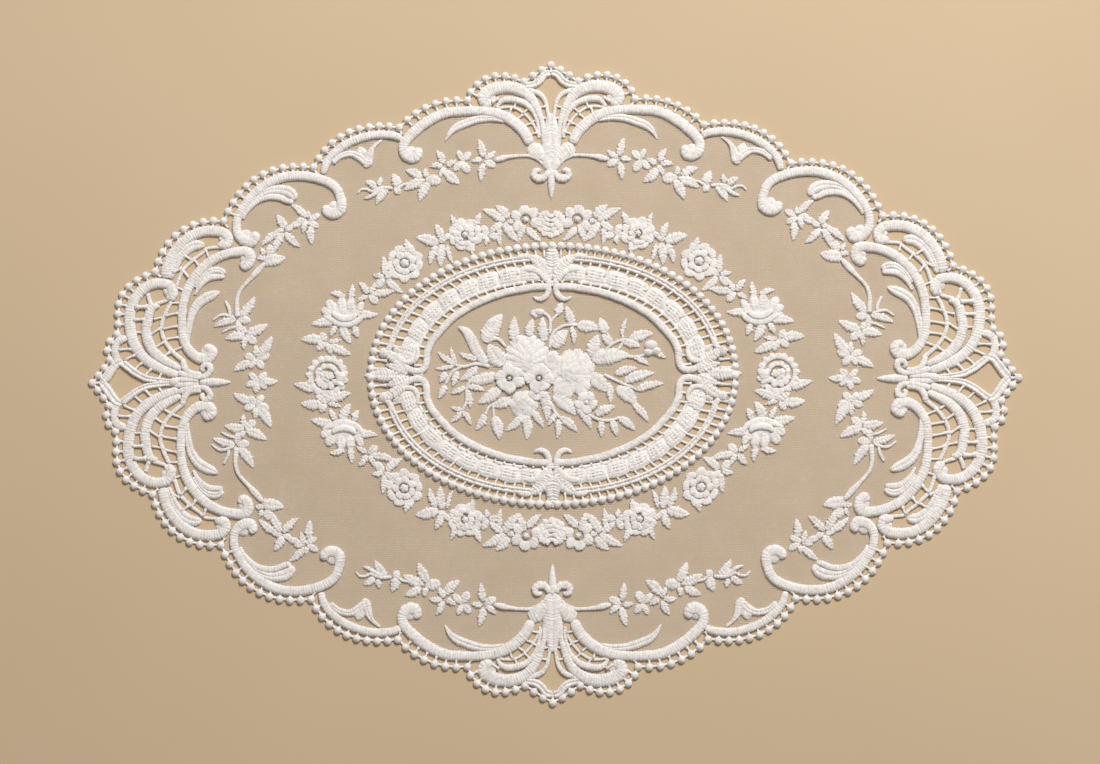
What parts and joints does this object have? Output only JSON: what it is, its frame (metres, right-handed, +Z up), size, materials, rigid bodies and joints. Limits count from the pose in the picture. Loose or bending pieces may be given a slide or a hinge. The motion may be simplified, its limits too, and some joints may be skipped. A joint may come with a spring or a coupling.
{
  "type": "lace doily",
  "caption": "Oval lace doily of embroidered net with a scalloped picot edge, scroll border, flower garland and oval medallion, lying flat.",
  "frame": {"origin": "centre of the doily's outline, on the surface that it lies on", "axes": "+X along the length of the doily, +Y across it towards the back edge, +Z up out of the right side of the cloth"},
  "size_m": [0.4064, 0.2814, 0.002],
  "materials": {
    "lace": "matte warm-white cotton, satin-stitched on fine net"
  },
  "bodies": {
    "root": {"doily": "lace"}
  },
  "joints": []
}
